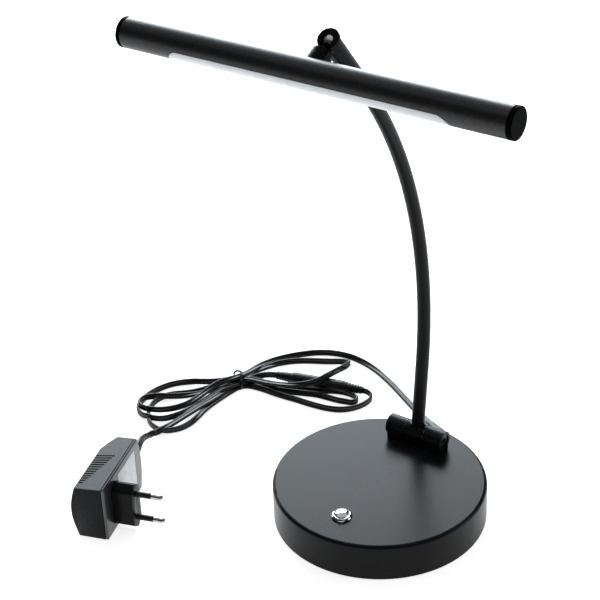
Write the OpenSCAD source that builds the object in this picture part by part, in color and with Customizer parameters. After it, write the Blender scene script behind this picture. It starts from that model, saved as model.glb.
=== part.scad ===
// Piano lamp: a weighted round foot with a push switch, a curved arm on a
// friction hinge, a slotted ball joint, and a round light bar with a long
// diffuser. Its flat twin lead lies in a tied hank behind the foot, with an
// inline low-voltage connector and a mains plug adapter at its end.
// Origin: centre of the underside, on the table. +Z up, -Y is the switch side.

/* [Foot] */
// Diameter of the foot
base_d = 140; // [136:1:150]
// Height of the foot
base_h = 26; // [25:0.5:28]
// Radius of the rounded top edge
edge_r = 2.2; // [1:0.1:2.4]
// Wall of the foot cover
cover_t = 2.4; // [2:0.1:2.6]
// Diameter of the cast ballast disc
ballast_d = 126; // [110:1:128]
// Thickness of the cast ballast disc
ballast_h = 11.5; // [8:0.5:12]
// Thickness of the pad under the foot
pad_t = 1.8; // [1:0.1:2]

/* [Switch] */
// Distance of the switch in front of the centre
switch_y = 45.6; // [40:0.5:50]
// Diameter of the chrome collar at the foot
collar_d = 13.5; // [13:0.1:15]
// Diameter of the push button
button_d = 9.4; // [9:0.1:9.5]
// Travel of the push button
button_travel = 1.5; // [1:0.1:2]

/* [Hinge] */
// Distance of the hinge behind the centre
hinge_y = 48.5; // [46:0.5:50]
// Height of the hinge axis
hinge_z = 34; // [34:0.1:36]
// Diameter of the hinge barrel
barrel_d = 13.4; // [13:0.1:14]
// Length of the hinge barrel
barrel_len = 42; // [40:0.5:46]
// Length of the middle knuckle
knuckle_len = 14; // [13:0.1:15]

/* [Arm] */
// Outer diameter of the arm tube
arm_d = 8.8; // [8.4:0.1:9.2]
// Wall of the arm tube
arm_wall = 0.9; // [0.7:0.1:1]
// Backward lean of the arm at the hinge, degrees
arm_lean = 6.9; // [5:0.1:8]
// Straight length above the hinge axis
arm_foot = 50.1; // [44:0.1:54]
// Radius of the bend
arm_r = 293; // [285:1:305]
// Angle of the bend, degrees
arm_sweep = 46.5; // [45:0.1:48]
// Straight length at the top
arm_tip = 55.8; // [55.5:0.1:58]

/* [Head] */
// Diameter of the light bar
bar_d = 18; // [17.6:0.1:18.4]
// Length of the light bar
bar_len = 250; // [240:1:260]
// Length of the light slot
slot_len = 179; // [170:1:184]
// Width of the light slot
slot_w = 14.3; // [14:0.1:15]
// Distance from the ball to the axis of the bar
stem_len = 24.7; // [24.5:0.1:27]
// Angle of the stem below the horizontal, degrees
stem_drop = 24.8; // [24:0.1:30]
// Turn of the light away from the line of the stem, degrees
light_turn = 35.2; // [25:0.1:40]
// Diameter of the ball
ball_d = 9; // [8.9:0.05:9.05]
// Outer diameter of the ball socket
socket_d = 13; // [12.8:0.1:13.2]
// Diameter of the collar on the stem
collar2_d = 12.4; // [12:0.1:12.6]

/* [Lead] */
// Width of the flat twin lead
lead_d = 3.6; // [3.4:0.1:3.8]
// Height of the tied hank
hank_h = 11; // [10:0.5:12]

/* [Adapter] */
// Length of the adapter housing
ad_len = 58.8; // [58:0.1:62]
// Width of the adapter housing, upright here
ad_w = 40; // [39:0.5:42]
// Depth of the adapter housing at its edge
ad_dep = 20.6; // [20:0.1:21.5]
// Wall of the adapter housing
ad_wall = 2; // [1.6:0.1:2.2]
// Spacing of the plug pins at their root
pin_gap = 18.6; // [18:0.1:19.2]
// Length of the plug pins
pin_len = 19; // [18.5:0.1:19.5]

/* [Hidden] */
$fn = 96;

cover_r = base_d / 2;
in_r = cover_r - cover_t;
top_z = base_h;
plate_z = pad_t;
plate_t = 1.6;
ballast_z = plate_z + plate_t;
ceil_z = base_h - cover_t;
black = [0.07, 0.07, 0.08];
blackp = [0.10, 0.10, 0.11];

// ---- frames -------------------------------------------------------------
arm_a1 = arm_lean - arm_sweep;                 // direction at the top, degrees from +Z, + is backward
p1y = hinge_y + arm_foot * sin(arm_lean);
p1z = hinge_z + arm_foot * cos(arm_lean);
cy = p1y - arm_r * cos(arm_lean);
cz = p1z + arm_r * sin(arm_lean);
p2y = cy + arm_r * cos(arm_a1);
p2z = cz - arm_r * sin(arm_a1);
face_y = p2y + arm_tip * sin(arm_a1);
face_z = p2z + arm_tip * cos(arm_a1);
ball_in = 4.3;                                 // ball centre below the socket's end face
ball_y = face_y - ball_in * sin(arm_a1);
ball_z = face_z - ball_in * cos(arm_a1);
tube_end = 10.4;                               // arm tube stops this far below the ball centre
socket_l = arm_tip - ball_in + 2.2;            // the socket covers the tube's straight end

module at_hinge() { translate([0, hinge_y, hinge_z]) children(); }
module hinge_up() { at_hinge() rotate([-arm_lean, 0, 0]) children(); }
module at_tip() { translate([0, ball_y, ball_z]) rotate([-arm_a1, 0, 0]) children(); }
module at_stem() { translate([0, ball_y, ball_z]) rotate([90 + stem_drop, 0, 0]) children(); }
module at_bar() { at_stem() translate([0, 0, stem_len]) rotate([light_turn, 0, 0]) children(); }
module xcyl(r, l) { rotate([0, 90, 0]) cylinder(r = r, h = l, center = true); }
module arm_rod(r, from, to) {
  // a round rod or hole on the arm's centre line, from near the hinge to near the ball;
  // its last stretch, inside the socket, is a little thinner
  hinge_up() {
    translate([0, 0, from]) cylinder(r = r, h = arm_foot - from, $fn = 64);
    translate([0, -arm_r, arm_foot]) rotate([90, 0, 90])
      rotate_extrude(angle = arm_sweep, $fn = 240) translate([arm_r, 0]) circle(r = r, $fn = 64);
  }
  at_tip() translate([0, 0, -arm_tip + ball_in - 0.6]) cylinder(r = r - 0.2, h = arm_tip - ball_in - to + 0.6, $fn = 64);
}

// ---- swept tubes --------------------------------------------------------
function unit(v) = v / norm(v);
function tangent(p, i) = unit(p[min(i + 1, len(p) - 1)] - p[max(i - 1, 0)]);
function side(t) = abs(t[2]) > 0.9 ? unit(cross(t, [1, 0, 0])) : unit(cross(t, [0, 0, 1]));
module sweep(p, r, n = 8) {
  q = len(p);
  pts = [for (i = [0:q - 1]) let (t = tangent(p, i), a = side(t), b = cross(t, a))
         for (j = [0:n - 1]) p[i] + r * (a * cos(360 * j / n) + b * sin(360 * j / n))];
  sides = [for (i = [0:q - 2]) for (j = [0:n - 1])
           [i * n + j, i * n + (j + 1) % n, (i + 1) * n + (j + 1) % n, (i + 1) * n + j]];
  ends = [[for (j = [n - 1:-1:0]) j], [for (j = [0:n - 1]) (q - 1) * n + j]];
  polyhedron(points = pts, faces = concat(ends, sides), convexity = 6);
}
function catmull(a, b, c, d, t) = 0.5 * ((2 * b) + (c - a) * t + (2 * a - 5 * b + 4 * c - d) * t * t
                                  + (3 * b - a - 3 * c + d) * t * t * t);
function smooth(p, k) = [for (i = [0:len(p) - 2]) for (s = [0:k - 1])
  catmull(p[max(i - 1, 0)], p[i], p[i + 1], p[min(i + 2, len(p) - 1)], s / k), ];
function route(p, k) = concat(smooth(p, k), [p[len(p) - 1]]);

// ---- routes of the free lead, on the table ------------------------------
lead_z = lead_d / 2 + 0.1;
lead_path = [[0, 83, 8.5], [-3, 88, 7.6], [-8, 92, 6.2], [-15, 96.5, 3.8], [-24, 102, lead_z],
             [-38, 111, lead_z], [-53, 120, lead_z], [-69, 130, lead_z], [-85, 138, lead_z], [-102, 144, lead_z]];
adapter_path = [[-160.4, -54.6, 20], [-161.6, -51, 19.8], [-163.4, -47, 19.1], [-167, -40.5, 17.4], [-171.6, -32.5, 13.6],
                [-175.4, -25, 9.6], [-178.8, -17, 5.6], [-182, -9, 2.6]];
hank_outline = [
  [-180, 84], [-176, 98], [-168, 114], [-158, 128], [-144, 140], [-128, 148], [-114, 150], [-105, 147],
  [-101, 138], [-98, 126], [-86, 118], [-72, 114], [-64, 106], [-61, 96], [-63, 86], [-71, 78],
  [-84, 73], [-102, 70], [-122, 68], [-142, 65], [-156, 58],
  [-158, 46], [-157, 28], [-156, 10], [-158, -4], [-164, -14], [-174, -19], [-186, -18], [-197, -12],
  [-208, -6], [-217, 2], [-222, 14], [-221, 30], [-215, 46], [-205, 58], [-192, 68], [-184, 76]];
waist_c = [-166.5, 73];
waist_a = 36;                                  // heading of the runs through the tie
waist_w = 19;                                  // width of the bundle in the tie
conn_p = [-147, 92];
conn_a = 13.6;

module at_conn() { translate([conn_p[0], conn_p[1], 4.9]) rotate([0, 0, conn_a]) rotate([0, 90, 0]) children(); }
module at_adapter() { translate([-134, -118.5, 0]) rotate([0, 0, 17.1]) children(); }
pin_a = 17.2;                                  // plug pins, from the near end of the housing
pin_z = 18.4;                                  // and above the table
ad_fall = 1.5;                                 // the housing narrows by this toward its back

// ---- foot ---------------------------------------------------------------
boss_r = 54;
boss_a = [0, 120, 240];
module base_pad() {
  color([0.12, 0.12, 0.12]) cylinder(r = in_r - 2, h = pad_t);
}
module base_plate() {
  color([0.55, 0.56, 0.58]) translate([0, 0, plate_z]) difference() {
    cylinder(r = in_r - 0.4, h = plate_t);
    for (a = boss_a) rotate([0, 0, a]) translate([boss_r, 0, -0.01]) {
      cylinder(r1 = 3.1, r2 = 1.6, h = plate_t - 0.1);
      cylinder(r = 1.6, h = plate_t + 1);
    }
  }
}
module base_ballast() {
  color([0.35, 0.35, 0.36]) translate([0, 0, ballast_z]) difference() {
    cylinder(r = ballast_d / 2, h = ballast_h);
    for (a = boss_a) rotate([0, 0, a]) translate([boss_r, 0, -1]) cylinder(r = 4.6, h = ballast_h + 2);
    translate([0, -switch_y, 2]) cylinder(r = 9.5, h = ballast_h);
    translate([-5, 22, 3]) cube([10, 50, ballast_h]);
  }
}
module base_cover() {
  color(black) difference() {
    union() {
      rotate_extrude($fn = 180) union() {
        translate([0, ceil_z]) square([cover_r - edge_r, cover_t]);
        translate([in_r, 0.6]) square([cover_t, base_h - edge_r - 0.6]);
        translate([cover_r - 2 * edge_r, base_h - 2 * edge_r]) square([edge_r, edge_r * 2]);
        translate([cover_r - edge_r, base_h - edge_r]) circle(r = edge_r, $fn = 48);
      }
      for (a = boss_a) rotate([0, 0, a]) translate([boss_r, 0, ballast_z]) cylinder(r = 4.2, h = ceil_z - ballast_z + 0.01);
    }
    for (a = boss_a) rotate([0, 0, a]) translate([boss_r, 0, ballast_z - 1]) cylinder(r = 1.25, h = 12);
    translate([0, -switch_y, ceil_z - 2]) cylinder(r = 6.05, h = 8);
    for (x = [-13.5, 13.5]) translate([x, hinge_y, ceil_z - 2]) cylinder(r = 1.6, h = 8);
    translate([0, hinge_y, ceil_z - 2]) cylinder(r = 2.6, h = 8);
    translate([0, in_r - 6, 8.5]) rotate([-90, 0, 0]) cylinder(r = 3.6, h = 20);
  }
}
module base_screws() {
  color("silver") for (a = boss_a) rotate([0, 0, a]) translate([boss_r, 0, plate_z]) difference() {
    union() {
      cylinder(r1 = 3.0, r2 = 1.5, h = plate_t - 0.15);
      cylinder(r = 1.25, h = 9.5);
    }
    translate([0, 0, -0.1]) cylinder(r = 1.1, h = 0.9, $fn = 6);
  }
}

// ---- switch -------------------------------------------------------------
module switch_bezel() {
  color("silver") translate([0, -switch_y, top_z]) rotate_extrude() polygon([
    [4.95, -9.5], [5.95, -9.5], [5.95, 0], [collar_d / 2, 0], [collar_d / 2, 0.5], [collar_d / 2 - 0.15, 0.95],
    [collar_d / 2 - 0.5, 1.4], [collar_d / 2 - 0.85, 1.75], [collar_d / 2 - 1.1, 1.95], [collar_d / 2 - 1.35, 2.05],
    [collar_d / 2 - 1.6, 2.0], [4.95, 1.6]]);
}
module switch_nut() {
  color("silver") translate([0, -switch_y, ceil_z - 2.6]) difference() {
    cylinder(r = 8, h = 2.6, $fn = 6);
    translate([0, 0, -1]) cylinder(r = 5.95, h = 5);
  }
}
module switch_body() {
  color([0.16, 0.16, 0.17]) translate([0, -switch_y, 0]) difference() {
    union() {
      translate([0, 0, top_z - 14.5]) cylinder(r = 5.9, h = 5.0);
      translate([0, 0, top_z - 10]) cylinder(r = 4.93, h = 5.5);
    }
    translate([0, 0, top_z - 11.5]) cylinder(r = 4.1, h = 10);
  }
}
module switch_terminals() {
  color([0.8, 0.65, 0.3]) for (x = [-3, 3]) translate([x - 0.9, -switch_y - 0.25, top_z - 18.5]) cube([1.8, 0.5, 4]);
}
module switch_spring() {
  color("silver") translate([0, -switch_y, 0]) sweep([for (i = [0:40]) let (a = i * 36)
    [2.9 * cos(a), 2.9 * sin(a), top_z - 11.2 + 6.7 * i / 40]], 0.28, 6);
}
module switch_button() {
  color("silver") translate([0, -switch_y, top_z]) rotate_extrude() polygon([
    [0, -6.4], [2.2, -6.4], [2.2, -4.2], [3.9, -4.2], [3.9, -1.6], [button_d / 2, -1.6], [button_d / 2, 1.9], [button_d / 2 - 0.25, 2.3],
    [3.6, 2.75], [2.4, 3.05], [1.2, 3.22], [0, 3.28]]);
}

// ---- hinge --------------------------------------------------------------
outer_in = knuckle_len / 2 + 0.4;              // inner face of the outer knuckles
module hinge_bracket() {
  color(black) difference() {
    union() {
      for (s = [-1, 1]) {
        translate([s * (outer_in + barrel_len / 2) / 2, hinge_y, hinge_z]) xcyl(barrel_d / 2, barrel_len / 2 - outer_in);
        translate([s > 0 ? outer_in : -barrel_len / 2 + 1, hinge_y - 6.2, top_z]) cube([barrel_len / 2 - 1 - outer_in, 12.4, hinge_z - top_z]);
      }
      translate([-barrel_len / 2 + 1, hinge_y - 6.2, top_z]) cube([barrel_len - 2, 12.4, 0.8]);
    }
    at_hinge() xcyl(2.55, barrel_len + 2);
    for (s = [-1, 1]) translate([s * (barrel_len / 2 - 1.2), hinge_y, hinge_z]) xcyl(4.9, 3.2);
    for (x = [-13.5, 13.5]) translate([x, hinge_y, top_z - 1]) cylinder(r = 1.25, h = 5.2);
    translate([0, hinge_y, top_z - 1]) cylinder(r = 2.6, h = 5);
  }
}
module bracket_screws() {
  color("silver") for (x = [-13.5, 13.5]) translate([x, hinge_y, 0]) difference() {
    union() {
      translate([0, 0, ceil_z - 2]) cylinder(r = 2.9, h = 2);
      translate([0, 0, ceil_z - 0.01]) cylinder(r = 1.25, h = 6.2);
    }
    translate([0, 0, ceil_z - 2.1]) cylinder(r = 1.2, h = 1.3, $fn = 6);
  }
}
module arm_knuckle() {
  color(black) difference() {
    union() {
      at_hinge() xcyl(barrel_d / 2, knuckle_len);
      hinge_up() translate([0, 0, 4]) cylinder(r = 5.4, h = 3.6);
    }
    hinge_up() translate([0, 0, 3]) cylinder(r = arm_d / 2, h = 8);
    hinge_up() cylinder(r = 3.2, h = 8);
    at_hinge() xcyl(1.98, knuckle_len + 2);
    translate([0, hinge_y, hinge_z - 9]) cylinder(r = 2.2, h = 9);
  }
}
module hinge_screws() {
  color([0.2, 0.2, 0.21]) for (s = [-1, 1]) at_hinge() rotate([0, s * 90, 0]) difference() {
    union() {
      translate([0, 0, 3.9]) cylinder(r = 1.96, h = knuckle_len / 2 - 3.9 + 0.01);
      translate([0, 0, knuckle_len / 2]) cylinder(r = 2.5, h = barrel_len / 2 - 2.3 - knuckle_len / 2);
      translate([0, 0, barrel_len / 2 - 2.31]) cylinder(r = 4.5, h = 1.7);
    }
    translate([0, 0, barrel_len / 2 - 1.7]) cylinder(r = 1.75, h = 3, $fn = 6);
  }
}
module hinge_washers() {
  color([0.75, 0.75, 0.76]) for (s = [-1, 1]) at_hinge() rotate([0, s * 90, 0]) {
    translate([0, 0, knuckle_len / 2]) difference() { cylinder(r = 6.3, h = 0.35); translate([0, 0, -1]) cylinder(r = 2.5, h = 3); }
    translate([0, 0, barrel_len / 2 - 2.71]) difference() { cylinder(r = 4.5, h = 0.4); translate([0, 0, -1]) cylinder(r = 2.5, h = 3); }
  }
}

// ---- arm ----------------------------------------------------------------
module arm_tube() {
  color(black) difference() {
    arm_rod(arm_d / 2, 3.4, tube_end);
    arm_rod(arm_d / 2 - arm_wall, 3.0, tube_end - 1);
  }
}
module arm_wires() {
  color([0.5, 0.1, 0.1]) arm_rod(1.3, 6, tube_end + 0.6);
}
module arm_socket() {
  color(black) at_tip() difference() {
    union() {
      translate([0, 0, ball_in - 2]) cylinder(r = socket_d / 2, h = 1.6);
      translate([0, 0, ball_in - 0.41]) cylinder(r1 = socket_d / 2, r2 = socket_d / 2 - 0.4, h = 0.41);
      translate([0, 0, ball_in - 3.2]) cylinder(r1 = 5.6, r2 = socket_d / 2, h = 1.21);
      translate([0, 0, -socket_l + 0.8]) cylinder(r1 = 5.3, r2 = 5.6, h = socket_l - 0.8 + ball_in - 3.19);
      translate([0, 0, -socket_l]) cylinder(r1 = 4.8, r2 = 5.3, h = 0.81);
    }
    sphere(r = ball_d / 2 + 0.12);
    translate([0, 0, -10]) cylinder(r = ball_d / 2 + 0.12, h = 10);
    translate([0, 0, -arm_tip + ball_in - 0.7]) cylinder(r = arm_d / 2 - 0.2, h = arm_tip - ball_in + 0.7);
    translate([0, 0, -arm_tip + ball_in - 6.7]) cylinder(r = arm_d / 2, h = 6.8);
    cylinder(r = 3.3, h = 10);
    translate([-3.3, -10, -1.6]) cube([6.6, 10, 10]);
    translate([0, 0, -1.6]) rotate([90, 0, 0]) cylinder(r = 3.3, h = 10);
  }
}
module ball_seat() {
  color([0.85, 0.85, 0.8]) at_tip() translate([0, 0, -9.8]) difference() {
    cylinder(r = 4.3, h = 7.2);
    translate([0, 0, 9.8]) sphere(r = ball_d / 2 + 0.08);
    translate([0, 0, -1]) cylinder(r = 2.4, h = 12);
    translate([-3.4, -6, 4.6]) cube([6.8, 6, 5]);
  }
}

// ---- ball and neck ------------------------------------------------------
module ball_stud() {
  color([0.86, 0.87, 0.88]) at_stem() difference() {
    union() {
      sphere(r = ball_d / 2);
      cylinder(r = 2.1, h = stem_len - 3.4);
    }
    translate([0, 0, -ball_d]) cylinder(r = 1.0, h = 60);
  }
}
module neck_sleeve() {
  color(black) at_stem() difference() {
    translate([0, 0, 3]) cylinder(r = 3.05, h = 5.3);
    sphere(r = ball_d / 2 + 0.02);
    cylinder(r = 2.1, h = 20);
  }
}
module stem_nut() {
  color("silver") at_stem() translate([0, 0, stem_len - 6.4]) difference() {
    cylinder(r = 3.7, h = 2.3, $fn = 6);
    translate([0, 0, -1]) cylinder(r = 2.1, h = 6);
  }
}

// ---- head ---------------------------------------------------------------
tube_in = bar_d / 2 - 1.2;
cap_t = 3;
module stem_collar() {
  color(black) at_stem() difference() {
    union() {
      translate([0, 0, 9]) cylinder(r = collar2_d / 2, h = stem_len - 9);
      translate([0, 0, 8.4]) cylinder(r1 = collar2_d / 2 - 0.6, r2 = collar2_d / 2, h = 0.61);
    }
    translate([0, 0, stem_len]) xcyl(bar_d / 2 + 0.01, 60);
    cylinder(r = 2.16, h = 60);
  }
}
module saddle_washer() {
  color([0.7, 0.7, 0.7]) at_stem() difference() {
    intersection() {
      translate([0, 0, stem_len - 9]) cylinder(r = 4.2, h = 2.5);
      translate([0, 0, stem_len]) xcyl(tube_in - 0.02, 30);
    }
    cylinder(r = 2.16, h = 60);
  }
}
module stadium(l, w) {
  union() { square([l - w, w], center = true); for (s = [-1, 1]) translate([s * (l - w) / 2, 0]) circle(r = w / 2); }
}
module head_tube() {
  color(black) difference() {
    at_bar() difference() {
      xcyl(bar_d / 2, bar_len - 2 * cap_t - 0.4);
      xcyl(tube_in, bar_len + 2);
      linear_extrude(30) stadium(slot_len, slot_w);
    }
    at_stem() cylinder(r = 2.3, h = stem_len);
  }
}
module end_cap(s) {
  at_bar() rotate([0, s * 90, 0]) translate([0, 0, bar_len / 2 - cap_t]) difference() {
    union() {
      translate([0, 0, 0.5]) cylinder(r = bar_d / 2, h = cap_t - 0.9);
      translate([0, 0, cap_t - 0.41]) cylinder(r1 = bar_d / 2, r2 = bar_d / 2 - 0.4, h = 0.41);
      translate([0, 0, -0.2]) cylinder(r = bar_d / 2 - 0.5, h = 1);
      translate([0, 0, -6]) cylinder(r = tube_in - 0.03, h = 6);
    }
    translate([0, 0, -7]) cylinder(r = tube_in - 1.5, h = 6.6);
  }
}
module left_end_cap() { color(black) end_cap(-1); }
module right_end_cap() { color(black) end_cap(1); }
module diffuser() {
  color([0.93, 0.95, 0.97]) at_bar() union() {
    intersection() {
      difference() { xcyl(bar_d / 2 - 0.12, slot_len); xcyl(6.7, slot_len + 2); }
      translate([0, 0, 2.4]) linear_extrude(20) stadium(slot_len - 0.4, slot_w - 0.4);
    }
    intersection() {
      difference() { xcyl(tube_in - 0.15, slot_len + 6); xcyl(6.7, slot_len + 8); }
      translate([-slot_len, -10, 2.4]) cube([2 * slot_len, 20, 3]);
    }
  }
}
module led_board() {
  color([0.9, 0.9, 0.88]) at_bar() translate([-slot_len / 2, -5.2, 0.5]) cube([slot_len, 10.4, 1]);
}
module leds() {
  color([0.95, 0.85, 0.4]) at_bar() for (i = [-15:1:14]) translate([(i + 0.5) * 5.7 - 1.4, -1.4, 1.5]) cube([2.8, 2.8, 0.8]);
}
module board_carrier() {
  color([0.75, 0.76, 0.77]) at_bar() difference() {
    intersection() {
      xcyl(tube_in - 0.1, bar_len - 2 * cap_t - 14);
      translate([-bar_len, -9, -9]) cube([2 * bar_len, 18, 9.5]);
    }
    translate([-bar_len, -4.6, -6]) cube([2 * bar_len, 9.2, 5.2]);
    translate([-9, -10, -10.6]) cube([18, 20, 9.8]);
  }
}
module head_wires() {
  color([0.5, 0.1, 0.1]) at_bar() for (y = [-1.2, 1.2]) translate([-46, y, -2.1]) rotate([0, 90, 0]) cylinder(r = 0.6, h = 41, $fn = 24);
}

// ---- wiring in the foot -------------------------------------------------
module cord_grommet() {
  color([0.1, 0.1, 0.1]) translate([0, 0, 8.5]) rotate([-90, 0, 0]) difference() {
    union() {
      translate([0, 0, in_r - 3]) cylinder(r = 3.55, h = cover_t + 3.2);
      translate([0, 0, in_r - 2.6]) cylinder(r = 4.6, h = 2.2);
      translate([0, 0, cover_r + 0.2]) cylinder(r = 4.6, h = 1.6);
      translate([0, 0, cover_r + 1.7]) cylinder(r1 = 3.4, r2 = 2.4, h = 11.3);
    }
    translate([0, 0, 40]) cylinder(r = 1.75, h = 60);
  }
}
module cord_clamp() {
  color([0.15, 0.15, 0.16]) translate([-3.6, 44, ballast_z + 3]) difference() {
    cube([7.2, 8, 5.6]);
    translate([3.6, -1, 2.6]) rotate([-90, 0, 0]) cylinder(r = 1.75, h = 12);
  }
}
module base_wires() {
  color([0.5, 0.1, 0.1]) {
    sweep(route([[0, 82.9, 8.5], [0, 60, 8.5], [0, 52.2, 9]], 2), 1.7, 8);
    sweep(route([[-0.9, 43.9, 9.2], [-0.9, 40, 10], [-1, 36, 14], [-1, 38, 18.4], [-0.9, 45, 20], [-0.8, hinge_y, 22.6], [-0.8, hinge_y, 27]], 3), 0.55, 6);
    sweep(route([[0.9, 43.9, 9.2], [0.9, 38, 11], [2, 24, 16.4], [3, -10, 17.4], [3.2, -30, 17.6], [3.2, -36.4, 17], [3.1, -38.4, 14.6], [3, -38.9, 11.2], [3, -41.4, 9.4], [3, -switch_y + 0.9, 9.2]], 3), 0.55, 6);
  }
}

// ---- free lead and hank -------------------------------------------------
module lamp_lead() { color(blackp) sweep(route(lead_path, 3), lead_d / 2, 8); }
module adapter_lead() { color(blackp) sweep(route(adapter_path, 3), lead_d / 2, 8); }
module cord_hank() {
  color(blackp) difference() {
    linear_extrude(hank_h) polygon(hank_outline);
    // waist held by the tie
    translate([waist_c[0], waist_c[1], 0]) rotate([0, 0, waist_a]) {
      for (s = [-1, 1]) translate([-3, s > 0 ? waist_w / 2 : -waist_w / 2 - 30, -1]) cube([6, 30, 30]);
      translate([-3, -20, -1]) cube([6, 40, 2.4]);
      translate([-3, -20, hank_h - 0.6]) cube([6, 40, 5]);
    }
    // room for the inline connector
    translate([conn_p[0], conn_p[1], -1]) rotate([0, 0, conn_a]) translate([0, -5.3, 0]) cube([67.9, 10.6, 30]);
  }
}
module hank_tie() {
  color([0.05, 0.05, 0.05]) translate([waist_c[0], waist_c[1], 0]) rotate([0, 0, waist_a]) difference() {
    translate([-1.3, -waist_w / 2 - 1.2, 0.2]) cube([2.6, waist_w + 2.4, hank_h + 0.4]);
    translate([-3, -waist_w / 2, 1.4]) cube([6, waist_w, hank_h - 2]);
  }
}

// ---- inline connector ---------------------------------------------------
module dc_socket_relief() {
  color(blackp) at_conn() difference() {
    union() {
      cylinder(r1 = 2.5, r2 = 3.4, h = 12);
      for (i = [0:4]) translate([0, 0, 1.2 + i * 2.2]) cylinder(r = 3 + i * 0.18, h = 1.1);
    }
    translate([0, 0, -1]) cylinder(r = 1.75, h = 9);
  }
}
module dc_socket() {
  color(blackp) at_conn() translate([0, 0, 12]) difference() {
    union() {
      cylinder(r1 = 3.9, r2 = 4.6, h = 3);
      translate([0, 0, 3]) cylinder(r = 4.6, h = 21);
    }
    translate([0, 0, 11]) cylinder(r = 2.75, h = 20);
  }
}
module dc_plug() {
  color(blackp) at_conn() translate([0, 0, 36.1]) difference() {
    union() {
      cylinder(r = 4.6, h = 16);
      translate([0, 0, 16]) cylinder(r1 = 4.6, r2 = 3.9, h = 3.8);
    }
    translate([0, 0, -1]) cylinder(r = 2.6, h = 9);
  }
}
module dc_plug_relief() {
  color(blackp) at_conn() translate([0, 0, 55.9]) difference() {
    union() {
      cylinder(r1 = 3.4, r2 = 2.5, h = 12);
      for (i = [0:4]) translate([0, 0, 0.9 + i * 2.2]) cylinder(r = 3.72 - i * 0.18, h = 1.1);
    }
    translate([0, 0, 4]) cylinder(r = 1.75, h = 10);
  }
}
module dc_contacts() {
  color("silver") at_conn() {
    difference() { translate([0, 0, 26]) cylinder(r = 2.6, h = 18.1); translate([0, 0, 25]) cylinder(r = 1.4, h = 16); }
    translate([0, 0, 23]) cylinder(r = 1.0, h = 16);
  }
}

// ---- adapter ------------------------------------------------------------
function bow(n, z0, z1, depth) = [for (i = [0:n]) let (t = i / n) [z0 + (z1 - z0) * t, depth * sin(180 * t)]];
module ad_form(in) {
  // plan, crowned back and crowned far end, each as a prism
  intersection() {
    translate([0, 0, in]) linear_extrude(ad_w - 2 * in) polygon([
      [-2.2 + min(in, 0.01), in], [-2.2 + min(in, 0.01), 63 - in], [-5, 62.6 - in], [-9.5, 61.2 - in], [-14.6 + in * 0.3, 58.6 - in],
      [-17.7 + in * 0.8, 52.4 - in * 0.5], [-20.4 + in * 0.9, 44.6], [-22.6 + in, 38], [-24 + in, 29], [-24.4 + in, 18], [-24.4 + in, in]]);
    translate([0, 80, 0]) rotate([90, 0, 0]) linear_extrude(100) polygon(concat(
      [[0, in]], [for (p = bow(10, in, ad_w - in - ad_fall, 3.8)) [-ad_dep + in - p[1], p[0]]], [[0, ad_w - in]]));
    translate([-40, 0, 0]) rotate([90, 0, 90]) linear_extrude(60) polygon(concat(
      [[in, ad_w - in], [in, in]], [for (p = bow(10, in, ad_w - in, 3.4)) [ad_len - in + p[1], p[0]]]));
  }
}
module adapter_body() {
  color([0.13, 0.14, 0.15]) at_adapter() difference() {
    ad_form(0);
    ad_form(ad_wall);
    for (i = [0:12]) translate([-21.4, 5.4 + i * 2.51, ad_w - ad_wall - ad_fall - 1.2]) rotate([0, 0, 7])
      cube([4.6 + i * 0.79, 1.15, ad_wall + 4]);
    translate([-6.5, ad_len - 2, ad_w / 2]) rotate([-90, 0, 0]) cylinder(r = 2.9, h = 10);
  }
}
module adapter_face() {
  color([0.15, 0.16, 0.17]) at_adapter() difference() {
    union() {
      intersection() {
        translate([-2, 0, 0]) cube([2, 70, ad_w]);
        translate([-40, 0, 0]) rotate([90, 0, 90]) linear_extrude(60) polygon(concat(
          [[0, ad_w], [0, 0]], [for (p = bow(10, 0, ad_w, 3.4)) [ad_len + p[1], p[0]]]));
      }
      translate([-4, ad_wall + 0.1, ad_wall + 0.1]) cube([2.01, ad_len - 2 * ad_wall - 0.2, 1.2]);
      translate([-4, ad_wall + 0.1, ad_w - ad_wall - 1.9]) cube([2.01, ad_len - 2 * ad_wall - 0.2, 1.2]);
    }
    translate([-6, pin_a - 5.4, pin_z - 14]) cube([8, 10.8, 28]);
  }
}
module plug_block() {
  color(black) at_adapter() difference() {
    union() {
      translate([0, pin_a, pin_z]) rotate([90, 0, 90]) linear_extrude(14.4) polygon([
        [-0.6, -16.8], [0.6, -16.8], [6.1, -12.6], [6.1, 12.6], [0.6, 16.8], [-0.6, 16.8], [-6.1, 12.6], [-6.1, -12.6]]);
      translate([-3.4, pin_a - 5.3, pin_z - 13.9]) cube([3.41, 10.6, 27.8]);
    }
    for (s = [-1, 1]) translate([-4, pin_a, pin_z + s * pin_gap / 2]) rotate([0, 90, 0]) cylinder(r = 1.5, h = 30);
  }
}
module plug_pins() {
  color("silver") at_adapter() for (s = [-1, 1]) translate([0, pin_a, pin_z + s * pin_gap / 2]) rotate([0, 90, 0]) {
    translate([0, 0, -6]) cylinder(r = 1.5, h = 31.65);
    translate([0, 0, 14.4 + 11.2]) cylinder(r = 2, h = pin_len - 11.2 - 1.2);
    translate([0, 0, 14.4 + pin_len - 1.21]) cylinder(r1 = 2, r2 = 1.1, h = 1.2);
  }
}
module pin_sleeves() {
  color(black) at_adapter() for (s = [-1, 1]) translate([14.4, pin_a, pin_z + s * pin_gap / 2]) rotate([0, 90, 0]) difference() {
    cylinder(r = 1.95, h = 11.2);
    translate([0, 0, -1]) cylinder(r = 1.5, h = 20);
  }
}
module adapter_label() {
  color([0.7, 0.72, 0.74]) at_adapter() translate([0, 23.7, 6]) cube([0.15, 27.9, 29.5]);
}
module adapter_board() {
  color([0.2, 0.45, 0.25]) at_adapter() translate([-8.2, 5, 5]) cube([1.6, 48, 29.5]);
}
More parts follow.
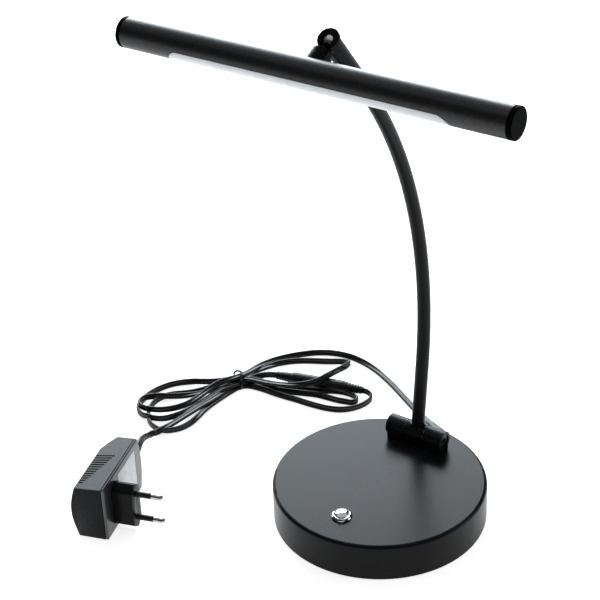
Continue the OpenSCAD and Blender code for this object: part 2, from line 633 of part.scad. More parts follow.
module adapter_transformer() {
  color([0.75, 0.6, 0.3]) at_adapter() union() {
    translate([-18.6, 24, 12]) cube([10.4, 14, 15]);
    translate([-17.4, 21.8, 14]) cube([8, 18.4, 11]);
  }
}
module adapter_capacitors() {
  color([0.15, 0.2, 0.4]) at_adapter() for (p = [[10, 12, 4.6], [13, 27, 3.4], [43.6, 20, 3]])
    translate([-17, p[0], p[1]]) rotate([0, 90, 0]) cylinder(r = p[2], h = 8.8);
}
module adapter_relief() {
  color(blackp) at_adapter() translate([-6.5, ad_len - 1, ad_w / 2]) rotate([-90, 0, 0]) difference() {
    union() {
      cylinder(r = 2.85, h = 6);
      translate([0, 0, -1.2]) cylinder(r = 3.6, h = 1.2);
      translate([0, 0, 5.9]) cylinder(r1 = 2.85, r2 = 2.3, h = 5.1);
    }
    translate([0, 0, 3]) cylinder(r = 1.75, h = 20);
  }
}

base_pad();
base_plate();
base_ballast();
base_cover();
base_screws();
switch_bezel();
switch_body();
switch_nut();
switch_terminals();
switch_spring();
switch_button();
hinge_bracket();
bracket_screws();
cord_grommet();
cord_clamp();
base_wires();
arm_knuckle();
hinge_screws();
hinge_washers();
arm_tube();
arm_wires();
arm_socket();
ball_seat();
ball_stud();
neck_sleeve();
stem_nut();
stem_collar();
saddle_washer();
head_tube();
left_end_cap();
right_end_cap();
diffuser();
led_board();
leds();
board_carrier();
head_wires();
lamp_lead();
cord_hank();
hank_tie();
dc_socket();
dc_socket_relief();
dc_plug();
dc_plug_relief();
dc_contacts();
adapter_lead();
adapter_relief();
adapter_body();
adapter_face();
plug_block();
plug_pins();
pin_sleeves();
adapter_label();
adapter_board();
adapter_transformer();
adapter_capacitors();
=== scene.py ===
"""Piano lamp: looks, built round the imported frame. Metres, one shared frame."""
import math

import bmesh
import bpy
from mathutils import Matrix, Vector


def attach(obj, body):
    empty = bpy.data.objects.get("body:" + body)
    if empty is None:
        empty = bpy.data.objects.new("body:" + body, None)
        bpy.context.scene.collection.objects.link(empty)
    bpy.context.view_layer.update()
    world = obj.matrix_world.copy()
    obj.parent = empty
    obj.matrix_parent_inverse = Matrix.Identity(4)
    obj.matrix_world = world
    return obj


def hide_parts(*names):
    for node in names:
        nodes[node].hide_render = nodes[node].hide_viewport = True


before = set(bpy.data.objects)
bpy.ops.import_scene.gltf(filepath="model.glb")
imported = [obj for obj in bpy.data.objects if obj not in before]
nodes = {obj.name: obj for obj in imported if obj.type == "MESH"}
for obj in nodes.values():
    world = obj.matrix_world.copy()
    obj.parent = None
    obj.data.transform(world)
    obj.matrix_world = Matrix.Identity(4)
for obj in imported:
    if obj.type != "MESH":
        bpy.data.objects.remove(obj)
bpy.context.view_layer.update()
MM = 0.001


# ------------------------------------------------------------------ camera
def make_camera():
    data = bpy.data.cameras.new("camera")
    data.sensor_width = 36.0
    data.lens = 99.186
    data.clip_start, data.clip_end = 0.05, 20
    cam = bpy.data.objects.new("camera", data)
    bpy.context.scene.collection.objects.link(cam)
    a, p, c = math.radians(35.22), math.radians(30.82), math.radians(-2.34)
    f = Vector((-math.sin(a) * math.cos(p), math.cos(a) * math.cos(p), -math.sin(p)))
    r = Vector((math.cos(a), math.sin(a), 0))
    u = r.cross(f)
    right = math.cos(c) * r + math.sin(c) * u
    up = -math.sin(c) * r + math.cos(c) * u
    m = Matrix((right, up, -f)).transposed().to_4x4()
    m.translation = Vector((0.4609, -0.7346, 0.6809))
    cam.matrix_world = m
    bpy.context.scene.camera = cam


make_camera()

# ------------------------------------------------------------------ cords
# route points: x, y, z in millimetres, and how far the flat lead stands on
# its edge there, from 0, lying flat, to 1
LAMP_ROUTE = [
    (0.6, 83.6, 8.6, 0.78), (-5.5, 90, 7, 0.48), (-12.7, 94.9, 5.2, 0.12), (-20.3, 99.5, 3.6, 0.01), (-27.9, 104.1, 2.4, 0), (-35.5, 108.9, 1.6, 0),
    (-43.1, 113.8, 1.2, 0), (-50.7, 118.6, 1.1, 0), (-58.3, 123.3, 1.1, 0), (-66, 128, 1.1, 0), (-73.9, 132.4, 1.2, 0), (-81.9, 136.5, 1.3, 0),
    (-90.1, 140.2, 1.4, 0.15), (-98.6, 143.1, 1.5, 0.3), (-107.4, 145, 1.6, 0.5), (-116.4, 145.6, 1.7, 0.65), (-125.3, 144.4, 1.7, 0.75), (-133.7, 141.5, 1.7, 0.75),
    (-141.4, 136.9, 1.7, 0.7), (-148.3, 131, 1.6, 0.6), (-154.3, 124.3, 1.7, 0.5), (-159.4, 117, 1.9, 0.42), (-163.4, 108.9, 2.4, 0.34), (-165.4, 99.7, 3.6, 0.25),
    (-165.7, 91.3, 5, 0.11), (-165.7, 82.8, 6.3, 0.06), (-167.2, 73.8, 7.5, 0.03), (-170.8, 66.3, 7.8, 0.27), (-175.4, 59.5, 6.8, 0.45), (-177.8, 51.4, 5.8, 0.34),
    (-178.7, 42.6, 5.1, 0.11), (-180, 33.7, 4.7, 0.21), (-182.5, 25.1, 4.5, 0.57), (-187.1, 17.5, 4.6, 0.86), (-193.7, 11.5, 4.7, 0.97), (-200.3, 8.2, 5, 0.99),
    (-204.6, 7.3, 5, 1), (-208.8, 8.1, 5, 1), (-211.8, 11, 5.2, 0.99), (-212.9, 15, 5.1, 0.95), (-211.8, 19.1, 4.9, 0.86), (-205.4, 25.1, 4.7, 0.45),
    (-198, 30.2, 4.2, 0.4), (-190.9, 35.7, 3.9, 0.35), (-184.6, 42.1, 3.7, 0.08), (-179.4, 49.4, 3.6, 0.09), (-175.5, 57.8, 3.7, 0.04), (-172.6, 67, 3.7, 0),
    (-170, 76, 3.8, 0), (-167.2, 84.2, 3.7, 0), (-163.9, 91.9, 3.2, 0), (-160.8, 99.9, 2.9, 0.05), (-157.2, 108, 2.5, 0.5), (-152.1, 115.4, 2, 0.65),
    (-145.3, 121.2, 1.8, 0.75), (-137.6, 125.7, 1.8, 0.75), (-129.4, 129.5, 2, 0.8), (-121.2, 133.1, 2.6, 0.85), (-117, 134.5, 3.1, 0.75), (-112.8, 134.8, 4, 0.89),
    (-109.2, 133.1, 5.4, 0.93), (-107.1, 129.7, 7, 0.89), (-105.7, 121.2, 9.5, 0.56), (-106.2, 112.4, 11.2, 0.31), (-107.9, 103.6, 11.7, 0.53), (-111.4, 95.5, 10.6, 0.82),
    (-117.5, 89.3, 8.9, 0.67), (-125.3, 85.1, 7.6, 0.25), (-133.6, 81.7, 6.9, 0.05), (-142.8, 79.3, 6.4, 0.04), (-151.1, 78.1, 6, 0.11), (-159.3, 76.6, 5.9, 0.08),
    (-167.7, 73.1, 5.5, 0.02), (-174.5, 67.7, 5.3, 0.13), (-181, 62.5, 4.6, 0.35), (-188.6, 59, 3.7, 0.45), (-197, 55.8, 2.7, 0.65), (-204.3, 50.7, 2.2, 0.8),
    (-209.8, 43.7, 2.2, 0.85), (-213.3, 35.4, 2.2, 0.8), (-215, 26.6, 2.2, 0.8), (-214.7, 17.6, 2.2, 0.81), (-212.6, 10.4, 2.2, 0.95), (-208, 4.7, 2.7, 0.99),
    (-201.4, 1.6, 3.2, 1), (-196.9, 1.3, 4.1, 1), (-192.5, 2.2, 3.5, 0.99), (-186.3, 6, 3, 0.93), (-181.2, 13.3, 2.8, 0.64), (-178.1, 21.7, 2.7, 0.23),
    (-176.3, 30.5, 2.7, 0.03), (-175, 39.5, 2.9, 0.01), (-173.4, 48.5, 3.3, 0.03), (-170.7, 57.6, 4.2, 0.02), (-166.5, 66.2, 4.2, 0), (-163, 74.5, 4.1, 0.02),
    (-159.1, 82.1, 4.7, 0.41), (-153.5, 88.6, 4.8, 0.9), (-147, 92.3, 5, 0.98),
]
ADAPTER_ROUTE = [
    (-81.7, 108, 5.3, 1), (-77.6, 109, 4.3, 1), (-73.6, 106.9, 3.5, 1), (-72, 103.1, 2.8, 1), (-73.4, 95.5, 2.3, 1), (-77.7, 87.7, 2.2, 0.98),
    (-84.5, 82, 2.1, 0.81), (-92.9, 78.8, 2.1, 0.8), (-101.7, 77.3, 2.1, 0.75), (-110.7, 76.6, 2.1, 0.7), (-119.7, 76.1, 2.2, 0.65), (-128.6, 75.3, 2.2, 0.55),
    (-138.2, 75, 2.1, 0.45), (-147.1, 75.4, 1.7, 0.33), (-155.6, 74.8, 1.4, 0.24), (-161.2, 72.5, 1.2, 0.01), (-164.9, 67.9, 1.2, 0.11), (-166.8, 59.5, 1.4, 0.32),
    (-167.6, 49.9, 1.6, 0.16), (-167.8, 40.7, 2, 0.02), (-168, 31.5, 2.1, 0.01), (-167.3, 22.6, 2.1, 0.15), (-166.9, 13.6, 2.1, 0.55), (-168.7, 4.9, 2.1, 0.9),
    (-173, -1.1, 2, 0.99), (-177.9, -4.3, 1.9, 1), (-183.7, -5.1, 2, 1), (-192, -2, 2, 0.97), (-198.6, 4, 1.9, 0.93), (-203.5, 11.5, 1.9, 0.95),
    (-205.8, 20.1, 1.9, 0.98), (-204.7, 28.9, 1.9, 0.9), (-199.7, 36.1, 1.9, 0.8), (-192.7, 41.8, 2, 0.7), (-186.6, 48.3, 2.1, 0.65), (-182.4, 56.6, 2, 0.38),
    (-179.8, 64.6, 1.7, 0.47), (-176.1, 71.8, 1.4, 0.34), (-170.5, 76.7, 1.2, 0.01), (-161.5, 78.6, 1.2, 0.16), (-152.9, 78.7, 1.5, 0.17), (-144.4, 78.8, 1.8, 0.3),
    (-135.1, 80.5, 1.9, 0.5), (-126.7, 83.5, 1.8, 0.6), (-118.2, 86.7, 1.8, 0.65), (-109.7, 89.3, 2, 0.7), (-100.8, 90.4, 2.1, 0.75), (-91.8, 91.2, 2.2, 0.85),
    (-86.1, 92.7, 2.2, 0.8), (-82.2, 93.8, 2.2, 0.93), (-80.1, 97.2, 2.3, 0.98), (-82.4, 100.7, 2.5, 0.99), (-91.8, 101.7, 2.7, 0.87), (-100.4, 99.3, 2.7, 0.75),
    (-108.3, 95.1, 2.5, 0.65), (-116.2, 90.9, 2.7, 0.6), (-124.4, 87.3, 3, 0.55), (-132.7, 83.9, 3.3, 0.45), (-142, 81.7, 3.4, 0.25), (-150.8, 81.2, 3, 0.4),
    (-157.5, 80.4, 2.8, 0.31), (-163, 77.7, 2.7, 0.05), (-166.7, 72.8, 2.2, 0.05), (-168.9, 64, 2.4, 0.29), (-169.2, 55.7, 2.8, 0.23), (-169.5, 47.6, 3.5, 0.07),
    (-170.4, 39, 3.7, 0.01), (-172.2, 30.1, 3.5, 0), (-173.6, 21.2, 3.4, 0), (-174.8, 12.3, 3.5, 0.01), (-175.9, 3.4, 3.7, 0.06), (-176.9, -4, 4.3, 0.22),
    (-179.2, -10.9, 3.6, 0.47), (-179.6, -15, 4.9, 0.5), (-176.2, -22, 9, 0.2), (-173.2, -28.3, 13.2, 0.05), (-170.1, -34.8, 17, 0), (-166.6, -42, 19.9, 0),
    (-163.2, -48.6, 20.4, 0),
]
LAMP_ROUTE[0] = (0, 82.9, 8.5, 0)
LAMP_ROUTE[1] = (-3.9, 89, 7.4, 0)
LAMP_ROUTE[-1] = (-147, 92, 4.9, 0.9)
ADAPTER_ROUTE[0] = (-81, 108, 4.9, 1)
ADAPTER_ROUTE[1] = (-77.1, 108.3, 4.3, 1)
ADAPTER_ROUTE.append((-160.4, -54.65, 20, 0))


def curve_points(route, step):
    """Even points on one smooth curve through the route: position in metres and edge."""
    p = [Vector(q) for q in route]
    out = []
    for i in range(len(p) - 1):
        a, b, c, d = p[max(i - 1, 0)], p[i], p[i + 1], p[min(i + 2, len(p) - 1)]
        lc = max((c - b).length, 1e-6)
        m1 = (c - a) * (lc / max((c - b).length + (b - a).length, 1e-6))
        m2 = (d - b) * (lc / max((d - c).length + (c - b).length, 1e-6))
        n = max(2, round(lc / 0.3))
        for k in range(n):
            t = k / n
            t2, t3 = t * t, t * t * t
            out.append((2 * t3 - 3 * t2 + 1) * b + (t3 - 2 * t2 + t) * m1 + (3 * t2 - 2 * t3) * c + (t3 - t2) * m2)
    out.append(p[-1])
    even, walked, last = [out[0]], 0.0, out[0]
    for q in out[1:]:
        walked += (q.to_3d() - last.to_3d()).length
        last = q
        if walked >= step:
            even.append(q)
            walked = 0.0
    if (even[-1].to_3d() - out[-1].to_3d()).length > step * 0.4:
        even.append(out[-1])
    else:
        even[-1] = out[-1]
    return [(q.to_3d() * MM, min(max(q.w, 0.0), 1.0)) for q in even]


def twin_profile():
    """Outline of the flat twin lead: two round cores and the groove between them."""
    pts = []
    for side in (1, -1):
        for k in range(13):
            a = math.radians(-132 + 264 * k / 12)
            pts.append((side * (1.22 + 1.14 * math.cos(a)), side * 1.14 * math.sin(a)))
    return [(x * MM, y * MM) for x, y in pts]


def new_mesh(name, verts, faces, smooth=True):
    me = bpy.data.meshes.new(name)
    me.from_pydata([tuple(v) for v in verts], [], faces)
    me.validate()
    bm = bmesh.new()
    bm.from_mesh(me)
    bmesh.ops.recalc_face_normals(bm, faces=bm.faces)
    bm.to_mesh(me)
    bm.free()
    if smooth:
        me.shade_smooth()
    o = bpy.data.objects.new(name, me)
    bpy.context.scene.collection.objects.link(o)
    return o


def loft(name, rings, closed_ends=True):
    n = len(rings[0])
    verts = [v for r in rings for v in r]
    faces = []
    for i in range(len(rings) - 1):
        for j in range(n):
            faces.append((i * n + j, i * n + (j + 1) % n, (i + 1) * n + (j + 1) % n, (i + 1) * n + j))
    if closed_ends:
        faces.append(tuple(range(n - 1, -1, -1)))
        faces.append(tuple((len(rings) - 1) * n + j for j in range(n)))
    return new_mesh(name, verts, faces)


def flat_lead(name, route):
    pts = curve_points(route, 1.3)
    prof = twin_profile()
    rings, path = [], []
    old = None
    eye = Vector((0.4609, -0.7346, 0.6809))

    def frame_at(line, i):
        t = (line[min(i + 1, len(line) - 1)][0] - line[max(i - 1, 0)][0]).normalized()
        h = t.cross(Vector((0, 0, 1))).normalized()
        return t, h, h.cross(t).normalized()

    def roll_at(line, i):
        # the flat side leans towards the camera; where the lead runs to or from it, it stands on its edge
        lean = frame_at(line, i)[1].dot(Vector((-0.577, 0.817, 0)))
        return math.radians(90) * (1 - max(-1.0, min(1.0, lean / 0.3)) * (1 - line[i][1]))

    lifted = []
    for i, (p, e) in enumerate(pts):
        # a lead that stands on its edge rests higher: slide the point towards the camera
        low = (1.17 + 1.22 * abs(math.sin(roll_at(pts, i)))) * MM
        if p.z < low:
            p = p + (eye - p) * ((low - p.z) / (eye.z - p.z))
        lifted.append((p, e))
    rolls = [roll_at(lifted, i) for i in range(len(lifted))]
    for _ in range(3):
        rolls = [rolls[0]] + [(rolls[i - 1] + 2 * rolls[i] + rolls[i + 1]) / 4 for i in range(1, len(rolls) - 1)] + [rolls[-1]]
    for i, (p, edge) in enumerate(lifted):
        t, h, v = frame_at(lifted, i)
        wide = math.cos(rolls[i]) * h + math.sin(rolls[i]) * v
        thin = t.cross(wide).normalized()
        if old is not None and old.dot(wide) < 0:
            wide, thin = -wide, -thin
        old = wide
        rings.append([p + wide * x + thin * y for x, y in prof])
        path.append(tuple(p))
    return loft(name, rings), path


def round_cord(name, pts, radius, sides=10):
    """A round rod through the points, given in metres; radius may be a list."""
    rings = []
    old = None
    for i, p in enumerate(pts):
        t = (pts[min(i + 1, len(pts) - 1)] - pts[max(i - 1, 0)]).normalized()
        if old is None:
            a = t.cross(Vector((0.3, 0.2, 1))).normalized()
        else:
            a = (old - t * old.dot(t)).normalized()
        old = a
        b = t.cross(a)
        r = radius[i] if isinstance(radius, list) else radius
        rings.append([p + r * (math.cos(2 * math.pi * k / sides) * a + math.sin(2 * math.pi * k / sides) * b) for k in range(sides)])
    return loft(name, rings)


lamp_cord, lamp_path = flat_lead("lamp_cord", LAMP_ROUTE)
adapter_cord, adapter_path = flat_lead("adapter_cord", ADAPTER_ROUTE)
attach(lamp_cord, "foot")
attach(adapter_cord, "foot")

# ------------------------------------------------------------------ the tie
TIE = Vector((-166.2, 74.6, 0)) * MM
ALONG = Vector((0.809, 0.588, 0))
ACROSS = Vector((0.588, -0.809, 0))
UP = Vector((0, 0, 1))


def tie_loop():
    """A twisted wire tie: one loop round the bundle, its two ends twisted and bent back."""
    outline = [(-6.9, 2.2), (-6.6, 4.8), (-5.2, 6.9), (-2.4, 8.7), (0.4, 8.6), (3.2, 7.2), (6.0, 6.2), (7.0, 4.2), (7.0, 1.9),
               (6.2, 0.75), (3.0, 0.6), (0, 0.6), (-3.2, 0.6), (-6.0, 0.75), (-6.9, 2.2)]
    wire = []
    for i in range(len(outline) - 1):
        a, b, c, d = (Vector(outline[k % (len(outline) - 1)]) for k in (i - 1, i, i + 1, i + 2))
        for k in range(5):
            t = k / 5
            q = 0.5 * ((2 * b) + (c - a) * t + (2 * a - 5 * b + 4 * c - d) * t * t + (3 * b - a - 3 * c + d) * t ** 3)
            wire.append(TIE + ACROSS * q.x * MM + UP * q.y * MM + ALONG * (0.25 * math.sin(i + t)) * MM)
    n = len(wire)
    rings = []
    for i in range(n):
        t = (wire[(i + 1) % n] - wire[i - 1]).normalized()
        a = t.cross(ALONG).normalized()
        b = t.cross(a)
        rings.append([wire[i] + MM * (0.5 * math.cos(math.tau * k / 8) * a + 1.05 * math.sin(math.tau * k / 8) * b) for k in range(8)])
    verts = [v for r in rings for v in r]
    faces = [(i * 8 + j, i * 8 + (j + 1) % 8, ((i + 1) % n) * 8 + (j + 1) % 8, ((i + 1) % n) * 8 + j) for i in range(n) for j in range(8)]
    loop = new_mesh("tie_loop", verts, faces)
    ends = []
    for name, start, line in (
        ("tie_end_a", (-2.6, 8.9), [(0, 0, 0), (-1.6, -0.6, 0.9), (-3.4, -0.8, 1.1), (-4.8, -0.2, 0.4), (-5.6, 0.9, -1.0)]),
        ("tie_end_b", (6.6, 1.0), [(0, 0, 0), (-1.2, 0.9, -0.1), (-2.7, 1.3, 0.0), (-4.1, 1.0, 0.1)]),
    ):
        pts = [TIE + ACROSS * start[0] * MM + UP * start[1] * MM + (ALONG * x + ACROSS * y + UP * z) * MM for x, y, z in line]
        fine = []
        for i in range(len(pts) - 1):
            for k in range(5):
                fine.append(pts[i].lerp(pts[i + 1], k / 5))
        fine.append(pts[-1])
        ends.append(round_cord(name, fine, [0.75 * MM + 0.14 * MM * math.sin(i * 1.4) for i in range(len(fine))], 8))
    return [loop] + ends


tie = tie_loop()
for piece in tie:
    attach(piece, "foot")
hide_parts("hank_tie")
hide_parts("lamp_lead", "cord_hank")
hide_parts("adapter_lead")


def rounded(name, node, width, segments=3, angle=28, dissolve=1.5):
    """A new piece in the shape of a CAD node, with its sharp moulded edges rounded."""
    me = nodes[node].data.copy()
    me.name = name
    bm = bmesh.new()
    bm.from_mesh(me)
    bmesh.ops.remove_doubles(bm, verts=bm.verts, dist=2e-6)
    bmesh.ops.dissolve_limit(bm, angle_limit=math.radians(dissolve), verts=bm.verts, edges=bm.edges)
    edges = [e for e in bm.edges if len(e.link_faces) == 2 and e.calc_face_angle(0) > math.radians(angle)]
    bmesh.ops.bevel(bm, geom=edges, offset=width, segments=segments, profile=0.5, affect="EDGES", clamp_overlap=True)
    bm.to_mesh(me)
    bm.free()
    for a in [a.name for a in me.attributes if a.name in ("custom_normal", "sharp_edge", "sharp_face")]:
        me.attributes.remove(me.attributes[a])
    me.shade_smooth()
    me.set_sharp_from_angle(angle=math.radians(40))
    for poly in me.polygons:
        if abs(poly.normal.z) > 0.985 and poly.area > 1.5e-6:
            poly.use_smooth = False
    o = bpy.data.objects.new(name, me)
    bpy.context.scene.collection.objects.link(o)
    return o


# ------------------------------------------------------------------ materials
def surface(name, color, color2, rough, rough_var, bump, grain, metallic=0.0, coat=0.0, coat_rough=0.1, spec=0.5, wear=None, wear_amount=0.0,
            streak=None, transmission=0.0, sss=0.0, blotch=35.0, ior=1.45):
    m = bpy.data.materials.new(name)
    m.use_nodes = True
    nt = m.node_tree
    nt.nodes.clear()
    new = nt.nodes.new
    link = nt.links.new
    out = new("ShaderNodeOutputMaterial")
    b = new("ShaderNodeBsdfPrincipled")
    link(b.outputs[0], out.inputs[0])
    b.inputs["Metallic"].default_value = metallic
    b.inputs["Coat Weight"].default_value = coat
    b.inputs["Coat Roughness"].default_value = coat_rough
    b.inputs["Specular IOR Level"].default_value = spec
    b.inputs["IOR"].default_value = ior
    b.inputs["Transmission Weight"].default_value = transmission
    if sss:
        b.inputs["Subsurface Weight"].default_value = sss
        b.inputs["Subsurface Radius"].default_value = (0.004, 0.004, 0.004)
        b.inputs["Subsurface Scale"].default_value = 1.0
    tc = new("ShaderNodeTexCoord")
    mp = new("ShaderNodeMapping")
    if streak:
        mp.inputs["Scale"].default_value = streak
    link(tc.outputs["Object"], mp.inputs[0])

    def noise(scale, detail=3, mapped=True):
        n = new("ShaderNodeTexNoise")
        n.inputs["Scale"].default_value = scale
        n.inputs["Detail"].default_value = detail
        link((mp if mapped else tc).outputs["Vector" if mapped else "Object"], n.inputs["Vector"])
        return n

    def ramp(src, lo, hi, a, c):
        r = new("ShaderNodeMapRange")
        r.inputs["From Min"].default_value, r.inputs["From Max"].default_value = lo, hi
        r.inputs["To Min"].default_value, r.inputs["To Max"].default_value = a, c
        link(src, r.inputs["Value"])
        return r.outputs[0]

    big = noise(blotch, 4)
    mid = noise(grain * 0.12, 4)
    fine = noise(grain, 5)
    mix = new("ShaderNodeMix")
    mix.data_type = "RGBA"
    mix.inputs["A"].default_value = (*color, 1)
    mix.inputs["B"].default_value = (*color2, 1)
    link(ramp(big.outputs[0], 0.38, 0.62, 0, 1), mix.inputs["Factor"])
    col = mix.outputs["Result"]
    if wear:
        geo = new("ShaderNodeNewGeometry")
        spots = noise(grain * 0.3, 5, False)
        mul = new("ShaderNodeMath")
        mul.operation = "MULTIPLY"
        link(ramp(geo.outputs["Pointiness"], 0.53, 0.62, 0, wear_amount), mul.inputs[0])
        link(ramp(spots.outputs[0], 0.42, 0.6, 0, 1), mul.inputs[1])
        w = new("ShaderNodeMix")
        w.data_type = "RGBA"
        w.inputs["B"].default_value = (*wear, 1)
        link(mul.outputs[0], w.inputs["Factor"])
        link(col, w.inputs["A"])
        col = w.outputs["Result"]
    link(col, b.inputs["Base Color"])
    radd = new("ShaderNodeMath")
    radd.operation = "ADD"
    link(ramp(mid.outputs[0], 0.3, 0.7, rough - rough_var, rough + rough_var), radd.inputs[0])
    link(ramp(fine.outputs[0], 0.3, 0.7, -rough_var * 0.5, rough_var * 0.5), radd.inputs[1])
    link(radd.outputs[0], b.inputs["Roughness"])
    bp = new("ShaderNodeBump")
    bp.inputs["Strength"].default_value = bump
    bp.inputs["Distance"].default_value = 0.00012
    addh = new("ShaderNodeMath")
    addh.operation = "MULTIPLY_ADD"
    addh.inputs[1].default_value = 0.35
    link(fine.outputs[0], addh.inputs[0])
    link(mid.outputs[0], addh.inputs[2])
    link(addh.outputs[0], bp.inputs["Height"])
    link(bp.outputs[0], b.inputs["Normal"])
    return m


M = {
    "paint": surface("black_paint", (0.0042, 0.0044, 0.005), (0.0062, 0.0065, 0.0074), 0.36, 0.03, 0.05, 2600, spec=0.46, wear=(0.03, 0.03, 0.034), wear_amount=0.3),
    "foot_paint": surface("foot_paint", (0.0036, 0.0039, 0.0045), (0.005, 0.0053, 0.006), 0.3, 0.02, 0.025, 2400, spec=0.115, wear=(0.03, 0.03, 0.034), wear_amount=0.3),
    "chrome": surface("chrome", (0.6, 0.61, 0.63), (0.66, 0.67, 0.68), 0.07, 0.025, 0.02, 3000, metallic=1.0),
    "arm_paint": surface("arm_paint", (0.0042, 0.0043, 0.0046), (0.006, 0.0061, 0.0065), 0.34, 0.03, 0.05, 2600, spec=0.12, wear=(0.03, 0.03, 0.034), wear_amount=0.3),
    "joint_paint": surface("joint_paint", (0.003, 0.0031, 0.0034), (0.0046, 0.0047, 0.005), 0.3, 0.03, 0.05, 2600, spec=0.04, wear=(0.03, 0.03, 0.034), wear_amount=0.3),
    "ball": surface("ball_chrome", (0.55, 0.55, 0.56), (0.62, 0.62, 0.63), 0.3, 0.04, 0.04, 2600, metallic=1.0),
    "nickel": surface("nickel", (0.5, 0.46, 0.44), (0.58, 0.54, 0.52), 0.22, 0.05, 0.06, 2600, metallic=1.0, streak=(6, 1, 1)),
    "steel": surface("steel", (0.42, 0.42, 0.43), (0.5, 0.5, 0.5), 0.3, 0.08, 0.08, 2200, metallic=1.0, streak=(1, 1, 6)),
    "dark_steel": surface("dark_steel", (0.02, 0.02, 0.023), (0.04, 0.04, 0.043), 0.33, 0.08, 0.1, 2200, metallic=1.0),
    "iron": surface("iron", (0.09, 0.09, 0.09), (0.13, 0.125, 0.12), 0.7, 0.1, 0.8, 900, metallic=0.6),
    "plastic": surface("black_plastic", (0.005, 0.005, 0.0055), (0.008, 0.008, 0.009), 0.42, 0.05, 0.2, 3200, spec=0.28, wear=(0.03, 0.03, 0.032), wear_amount=0.3),
    # painted shade: the end caps and the neck sleeve get a darker copy of the black plastic, with darker edge wear and
    # almost no sheen, to keep them dark where the right lamp falls on them
    "cap": surface("cap_plastic_painted_shade", (0.0012, 0.0013, 0.0015), (0.002, 0.0021, 0.0024), 0.32, 0.04, 0.06, 3000, spec=0.005, wear=(0.012, 0.012, 0.014), wear_amount=0.2),
    "cord": surface("cord_plastic", (0.005, 0.0048, 0.0046), (0.0085, 0.008, 0.0075), 0.34, 0.07, 0.18, 2600, spec=0.3, blotch=60),
    "relief": surface("relief_plastic", (0.005, 0.005, 0.0055), (0.009, 0.009, 0.0095), 0.42, 0.06, 0.25, 2600, spec=0.32),
    "adapter": surface("adapter_plastic", (0.005, 0.0054, 0.006), (0.007, 0.0075, 0.0085), 0.31, 0.04, 0.2, 3000, spec=0.115, wear=(0.045, 0.047, 0.05), wear_amount=0.35),
    "adapter_face": surface("adapter_face_plastic", (0.008, 0.0085, 0.0095), (0.011, 0.012, 0.0135), 0.34, 0.045, 0.28, 3000, spec=0.95, wear=(0.045, 0.047, 0.05), wear_amount=0.35),
    "block": surface("plug_block_plastic", (0.004, 0.0042, 0.0046), (0.006, 0.0062, 0.0066), 0.34, 0.045, 0.25, 3000, spec=0.12),
    "label": surface("label", (0.56, 0.585, 0.605), (0.68, 0.7, 0.715), 0.45, 0.06, 0.12, 1400, blotch=260),
    "diffuser": surface("diffuser", (0.66, 0.675, 0.70), (0.69, 0.705, 0.73), 0.3, 0.05, 0.04, 1500, sss=0.25, spec=0.4),
    "board": surface("board", (0.02, 0.10, 0.04), (0.03, 0.13, 0.05), 0.35, 0.05, 0.1, 900),
    "white_board": surface("white_board", (0.75, 0.75, 0.73), (0.8, 0.8, 0.78), 0.4, 0.05, 0.05, 900),
    "alu": surface("alu", (0.55, 0.56, 0.57), (0.62, 0.62, 0.63), 0.32, 0.08, 0.1, 1500, metallic=1.0, streak=(0.2, 5, 5)),
    "copper": surface("copper", (0.45, 0.24, 0.12), (0.55, 0.3, 0.15), 0.35, 0.08, 0.2, 1200, metallic=1.0),
    "wire": surface("wire", (0.25, 0.02, 0.02), (0.3, 0.03, 0.025), 0.45, 0.05, 0.1, 1500),
    "nylon": surface("nylon", (0.65, 0.65, 0.6), (0.7, 0.7, 0.65), 0.45, 0.05, 0.1, 1500),
    "phosphor": surface("phosphor", (0.8, 0.62, 0.12), (0.85, 0.68, 0.15), 0.4, 0.05, 0.05, 1500),
    "capacitor": surface("capacitor", (0.02, 0.03, 0.08), (0.03, 0.04, 0.1), 0.3, 0.05, 0.05, 1500),
    "pad": surface("pad", (0.02, 0.02, 0.02), (0.03, 0.03, 0.03), 0.85, 0.05, 0.9, 1200),
}

USES = {
    "paint": "head_tube",
    "arm_paint": "hinge_bracket arm_knuckle arm_tube",
    "joint_paint": "arm_socket stem_collar",
    "foot_paint": "base_cover",
    "chrome": "switch_bezel switch_button",
    "ball": "ball_stud",
    "nickel": "plug_pins",
    "steel": "base_plate base_screws switch_nut bracket_screws hinge_washers stem_nut saddle_washer dc_contacts switch_spring",
    "dark_steel": "hinge_screws",
    "iron": "base_ballast",
    "plastic": "switch_body cord_clamp pin_sleeves",
    "cap": "neck_sleeve left_end_cap right_end_cap",
    "relief": "cord_grommet dc_socket dc_plug dc_socket_relief dc_plug_relief adapter_relief cord_hank lamp_lead adapter_lead hank_tie",
    "adapter": "adapter_body",
    "block": "plug_block",
    "adapter_face": "adapter_face",
    "label": "adapter_label",
    "diffuser": "diffuser",
    "board": "adapter_board",
    "white_board": "led_board",
    "alu": "board_carrier",
    "copper": "switch_terminals adapter_transformer",
    "wire": "base_wires arm_wires head_wires",
    "nylon": "ball_seat",
    "phosphor": "leds",
    "capacitor": "adapter_capacitors",
    "pad": "base_pad",
}
for key, names in USES.items():
    for n in names.split():
        o = nodes[n]
        if not o.material_slots:
            o.data.materials.append(M[key])
        for s in o.material_slots:
            s.material = M[key]


def dress(o, key):
    o.data.materials.clear()
    o.data.materials.append(M[key])
    return o


for piece in [lamp_cord, adapter_cord] + tie:
    dress(piece, "cord")

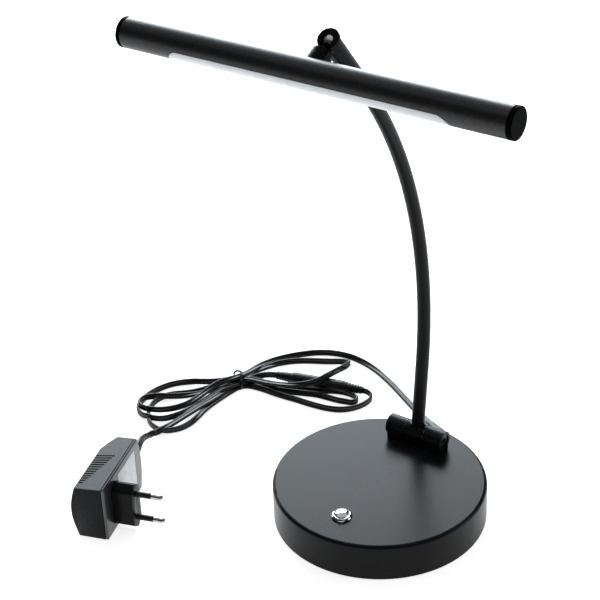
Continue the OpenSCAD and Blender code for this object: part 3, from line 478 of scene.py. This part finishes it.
# the adapter's mouldings, with their edges rounded
for name, node, width, key in (
    ("adapter_body_moulded", "adapter_body", 0.0009, "adapter"),
    ("adapter_face_moulded", "adapter_face", 0.0007, "adapter_face"),
    ("plug_block_moulded", "plug_block", 0.0008, "block"),
):
    piece = dress(rounded(name, node, width), key)
    # painted shade: on the face moulding, the faces that look up take the darker, duller body plastic, so its top edge
    # does not catch the softbox behind
    if key == "adapter_face":
        piece.data.materials.append(M["adapter"])
        for poly in piece.data.polygons:
            poly.material_index = 1 if poly.normal.z > 0.3 else 0
    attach(piece, "foot")
    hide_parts(node)

# ------------------------------------------------------------------ stage and light
def floor():
    verts, faces = [], []
    n = 24
    for i in range(n + 1):
        for j in range(n + 1):
            verts.append((-6 + 12 * i / n, -6 + 12 * j / n, 0))
    for i in range(n):
        for j in range(n):
            a = i * (n + 1) + j
            faces.append((a, a + n + 1, a + n + 2, a + 1))
    o = new_mesh("floor", verts, faces, False)
    m = surface("floor", (0.86, 0.86, 0.86), (0.865, 0.865, 0.865), 0.75, 0.03, 0.02, 300, spec=0.1)
    dress(o, "label")
    glow = next(n for n in m.node_tree.nodes if n.type == "BSDF_PRINCIPLED")
    glow.inputs["Emission Color"].default_value = (1, 1, 1, 1)
    glow.inputs["Emission Strength"].default_value = 0.78
    o.data.materials[0] = m


floor()


def area(name, loc, target, size, power, size_y=None, color=(1, 1, 1)):
    d = bpy.data.lights.new(name, "AREA")
    d.energy = power
    d.color = color
    d.shape = "RECTANGLE"
    d.size = size
    d.size_y = size_y or size
    o = bpy.data.objects.new(name, d)
    o.location = loc
    o.rotation_euler = (Vector(target) - Vector(loc)).to_track_quat("-Z", "Y").to_euler()
    bpy.context.scene.collection.objects.link(o)
    return o


# a weak white ceiling, a softbox low behind that the foot's top mirrors, and two weak sides
area("ceiling", (0.0, 0.6, 2.3), (0, 0.6, 0), 4.0, 26)
area("behind", (-0.92, 1.05, 0.74), (0, 0, 0.03), 1.15, 37, 0.9, (0.86, 0.94, 1.0))
area("left", (-1.9, 0.2, 0.5), (0, 0, 0.1), 0.8, 5)
area("right", (1.7, 1.0, 0.6), (0, 0, 0.15), 0.8, 7)
world = bpy.data.worlds.new("studio")
world.use_nodes = True
world.node_tree.nodes["Background"].inputs[0].default_value = (0.95, 0.97, 1, 1)
world.node_tree.nodes["Background"].inputs[1].default_value = 0.04
bpy.context.scene.world = world
bpy.context.scene.view_settings.view_transform = "Standard"
